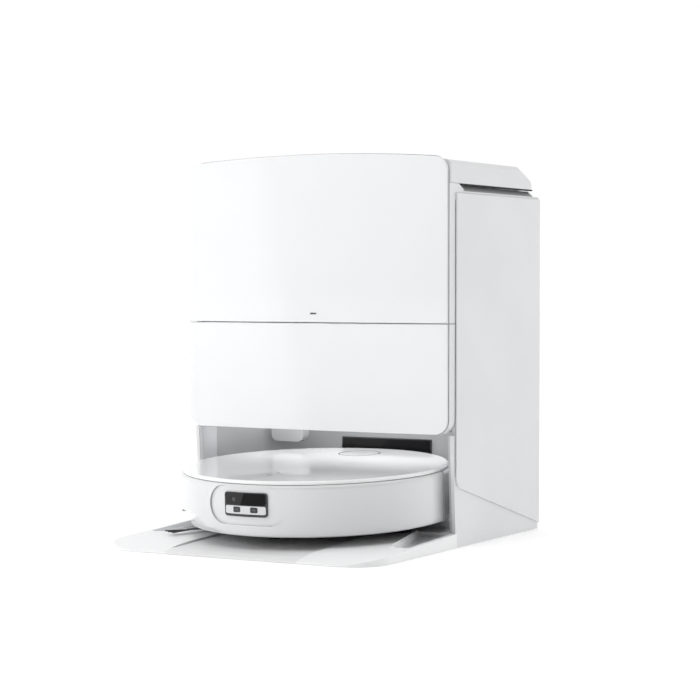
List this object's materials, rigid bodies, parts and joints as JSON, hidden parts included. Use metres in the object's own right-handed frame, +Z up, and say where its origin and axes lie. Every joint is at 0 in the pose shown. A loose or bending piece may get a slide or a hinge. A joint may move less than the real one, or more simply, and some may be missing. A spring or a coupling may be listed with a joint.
{
  "type": "robot vacuum with washing dock",
  "caption": "Round robot vacuum and mop standing in the bay of a tall self-emptying, mop-washing dock with a glossy arched front, side covers and a low entry ramp.",
  "frame": {"origin": "on the floor, at the middle of the dock's footprint with its ramp", "axes": "+X to the right seen from the front, +Y to the back of the dock, +Z up; the robot and the ramp face -Y"},
  "size_m": [0.381, 0.466, 0.488],
  "materials": {
    "gloss_white": "gloss",
    "satin_white": "satin",
    "ramp_white": "fine texture",
    "bay_grey": "satin",
    "dark_gloss": "gloss",
    "dark_plastic": "fine texture",
    "grey_plastic": "fine texture",
    "clear_tank": "frosted",
    "smoke_tank": "smoked",
    "light_bar": "satin",
    "rubber_black": "matte",
    "tyre": "ribbed",
    "brush_rubber": "matte",
    "bristle": "bristle",
    "mop_fabric": "looped pile",
    "bag_fabric": "non-woven",
    "steel": "brushed",
    "contact_metal": "plated",
    "board_green": "solder mask",
    "motor_metal": "cast"
  },
  "bodies": {
    "dock": {"entry_ramp": "ramp_white", "base_tray": "ramp_white", "wash_strainer": "grey_plastic", "bay_lining": "bay_grey", "bay_ceiling": "bay_grey", "rear_cover": "satin_white", "dock_screws": "steel", "docking_window": "dark_gloss", "charge_contacts": "contact_metal", "rubber_feet": "rubber_black", "tank_deck": "bay_grey", "top_frame": "satin_white", "upper_front_panel": "gloss_white", "status_light": "light_bar", "fan_motor": "motor_metal", "air_ducts": "dark_plastic", "water_pump": "dark_plastic", "control_board": "board_green", "power_inlet": "dark_plastic", "side_frame_left": "satin_white", "side_frame_right": "satin_white", "side_cover_left": "satin_white", "side_cover_right": "satin_white"},
    "fan": {"fan_impeller": "dark_plastic"},
    "front_cover": {"lower_front_panel": "gloss_white", "lower_front_frame": "satin_white"},
    "dust_bag_body": {"dust_bag": "bag_fabric"},
    "lid": {"lid_shell": "satin_white"},
    "clean_tank_body": {"clean_tank": "clear_tank", "clean_tank_lid": "grey_plastic"},
    "dirty_tank_body": {"dirty_tank": "smoke_tank", "dirty_tank_lid": "dark_plastic"},
    "robot": {"robot_chassis": "dark_plastic", "robot_housing": "gloss_white", "brush_guard": "dark_plastic", "battery": "dark_plastic", "main_board": "board_green", "vacuum_motor": "motor_metal", "robot_screws": "steel"},
    "bumper_body": {"bumper": "gloss_white", "sensor_window": "dark_gloss"},
    "cover_body": {"top_cover": "gloss_white"},
    "dustbin_body": {"dustbin": "smoke_tank"},
    "tower_body": {"sensor_tower": "gloss_white"},
    "lidar_body": {"lidar_rotor": "dark_plastic"},
    "power_button_body": {"power_button": "gloss_white"},
    "dock_button_body": {"dock_button": "gloss_white"},
    "suspension_left_body": {"suspension_left": "dark_plastic"},
    "suspension_right_body": {"suspension_right": "dark_plastic"},
    "wheel_left_body": {"drive_wheel_left": "tyre"},
    "wheel_right_body": {"drive_wheel_right": "tyre"},
    "caster_body": {"caster_fork": "dark_plastic"},
    "caster_wheel_body": {"caster_wheel": "rubber_black"},
    "brush_body": {"main_brush": "brush_rubber"},
    "side_brush_body": {"side_brush": "bristle"},
    "mop_lift_body": {"mop_carrier": "dark_plastic"},
    "mop_left_body": {"mop_disc_left": "grey_plastic", "mop_pad_left": "mop_fabric"},
    "mop_right_body": {"mop_disc_right": "grey_plastic", "mop_pad_right": "mop_fabric"}
  },
  "joints": [
    {"name": "robot_drive", "type": "slide", "parent": "dock", "child": "robot", "axis": [0, -0.9997, -0.0262], "range_m": [0, 0.42]},
    {"name": "fan_spin", "type": "hinge", "parent": "dock", "child": "fan", "pos_m": [0.084, 0.084, 0.21], "axis": [0, 0, 1], "continuous": true},
    {"name": "front_cover_pull", "type": "slide", "parent": "dock", "child": "front_cover", "axis": [0, -1, 0], "range_m": [0, 0.15]},
    {"name": "dust_bag_slide", "type": "slide", "parent": "dock", "child": "dust_bag_body", "axis": [0, -1, 0], "range_m": [0, 0.075]},
    {"name": "lid_hinge", "type": "hinge", "parent": "dock", "child": "lid", "pos_m": [0, 0.2285, 0.4455], "axis": [-1, 0, 0], "range_deg": [0, 95]},
    {"name": "clean_tank_lift", "type": "slide", "parent": "dock", "child": "clean_tank_body", "axis": [0, 0, 1], "range_m": [0, 0.2]},
    {"name": "dirty_tank_lift", "type": "slide", "parent": "dock", "child": "dirty_tank_body", "axis": [0, 0, 1], "range_m": [0, 0.2]},
    {"name": "bumper_press", "type": "slide", "parent": "robot", "child": "bumper_body", "axis": [0, 0.9988, 0.048], "range_m": [0, 0.004], "stiffness_N_per_m": 400, "springref_m": -0.002},
    {"name": "top_cover_lift", "type": "slide", "parent": "robot", "child": "cover_body", "axis": [0, -0.048, 0.9988], "range_m": [0, 0.03]},
    {"name": "dustbin_lift", "type": "slide", "parent": "robot", "child": "dustbin_body", "axis": [0, -0.048, 0.9988], "range_m": [0, 0.024]},
    {"name": "tower_rise", "type": "slide", "parent": "robot", "child": "tower_body", "axis": [0, -0.048, 0.9988], "range_m": [0, 0.02]},
    {"name": "lidar_spin", "type": "hinge", "parent": "tower_body", "child": "lidar_body", "pos_m": [0, 0.08473, 0.0877], "axis": [0, -0.048, 0.9988], "continuous": true},
    {"name": "power_button_press", "type": "slide", "parent": "robot", "child": "power_button_body", "axis": [0, 0.048, -0.9988], "range_m": [0, 0.001], "stiffness_N_per_m": 600, "springref_m": -0.001},
    {"name": "dock_button_press", "type": "slide", "parent": "robot", "child": "dock_button_body", "axis": [0, 0.048, -0.9988], "range_m": [0, 0.001], "stiffness_N_per_m": 600, "springref_m": -0.001},
    {"name": "left_suspension", "type": "hinge", "parent": "robot", "child": "suspension_left_body", "pos_m": [-0.104, -0.06575, 0.05244], "axis": [1, 0, 0], "range_deg": [0, 10], "stiffness_Nm_per_rad": 4, "springref_deg": -17.19},
    {"name": "right_suspension", "type": "hinge", "parent": "robot", "child": "suspension_right_body", "pos_m": [0.104, -0.06575, 0.05244], "axis": [1, 0, 0], "range_deg": [0, 10], "stiffness_Nm_per_rad": 4, "springref_deg": -17.19},
    {"name": "left_wheel_spin", "type": "hinge", "parent": "suspension_left_body", "child": "wheel_left_body", "pos_m": [-0.12, -0.0256, 0.05036], "axis": [1, 0, 0], "continuous": true},
    {"name": "right_wheel_spin", "type": "hinge", "parent": "suspension_right_body", "child": "wheel_right_body", "pos_m": [0.12, -0.0256, 0.05036], "axis": [1, 0, 0], "continuous": true},
    {"name": "caster_swivel", "type": "hinge", "parent": "robot", "child": "caster_body", "pos_m": [0, -0.13338, 0.04318], "axis": [0, -0.048, 0.9988], "continuous": true},
    {"name": "caster_roll", "type": "hinge", "parent": "caster_body", "child": "caster_wheel_body", "pos_m": [0, -0.12857, 0.02639], "axis": [1, 0, 0], "continuous": true},
    {"name": "main_brush_spin", "type": "hinge", "parent": "robot", "child": "brush_body", "pos_m": [0, -0.07711, 0.03888], "axis": [1, 0, 0], "continuous": true},
    {"name": "side_brush_spin", "type": "hinge", "parent": "robot", "child": "side_brush_body", "pos_m": [-0.112, -0.10246, 0.02464], "axis": [0, -0.048, 0.9988], "continuous": true},
    {"name": "mop_lift", "type": "slide", "parent": "robot", "child": "mop_lift_body", "axis": [0, -0.048, 0.9988], "range_m": [0, 0.01]},
    {"name": "left_mop_spin", "type": "hinge", "parent": "mop_lift_body", "child": "mop_left_body", "pos_m": [-0.059, 0.06135, 0.03251], "axis": [0, -0.048, 0.9988], "continuous": true},
    {"name": "right_mop_spin", "type": "hinge", "parent": "mop_lift_body", "child": "mop_right_body", "pos_m": [0.059, 0.06135, 0.03251], "axis": [0, -0.048, 0.9988], "continuous": true}
  ],
  "couplings": [
    {"joint": "clean_tank_lift", "follows": "lid_hinge", "m_per_rad": 0.12},
    {"joint": "dirty_tank_lift", "follows": "lid_hinge", "m_per_rad": 0.12},
    {"joint": "dust_bag_slide", "follows": "front_cover_pull", "ratio": 0.5},
    {"joint": "dustbin_lift", "follows": "top_cover_lift", "ratio": 0.8},
    {"joint": "right_mop_spin", "follows": "left_mop_spin", "ratio": -1}
  ]
}
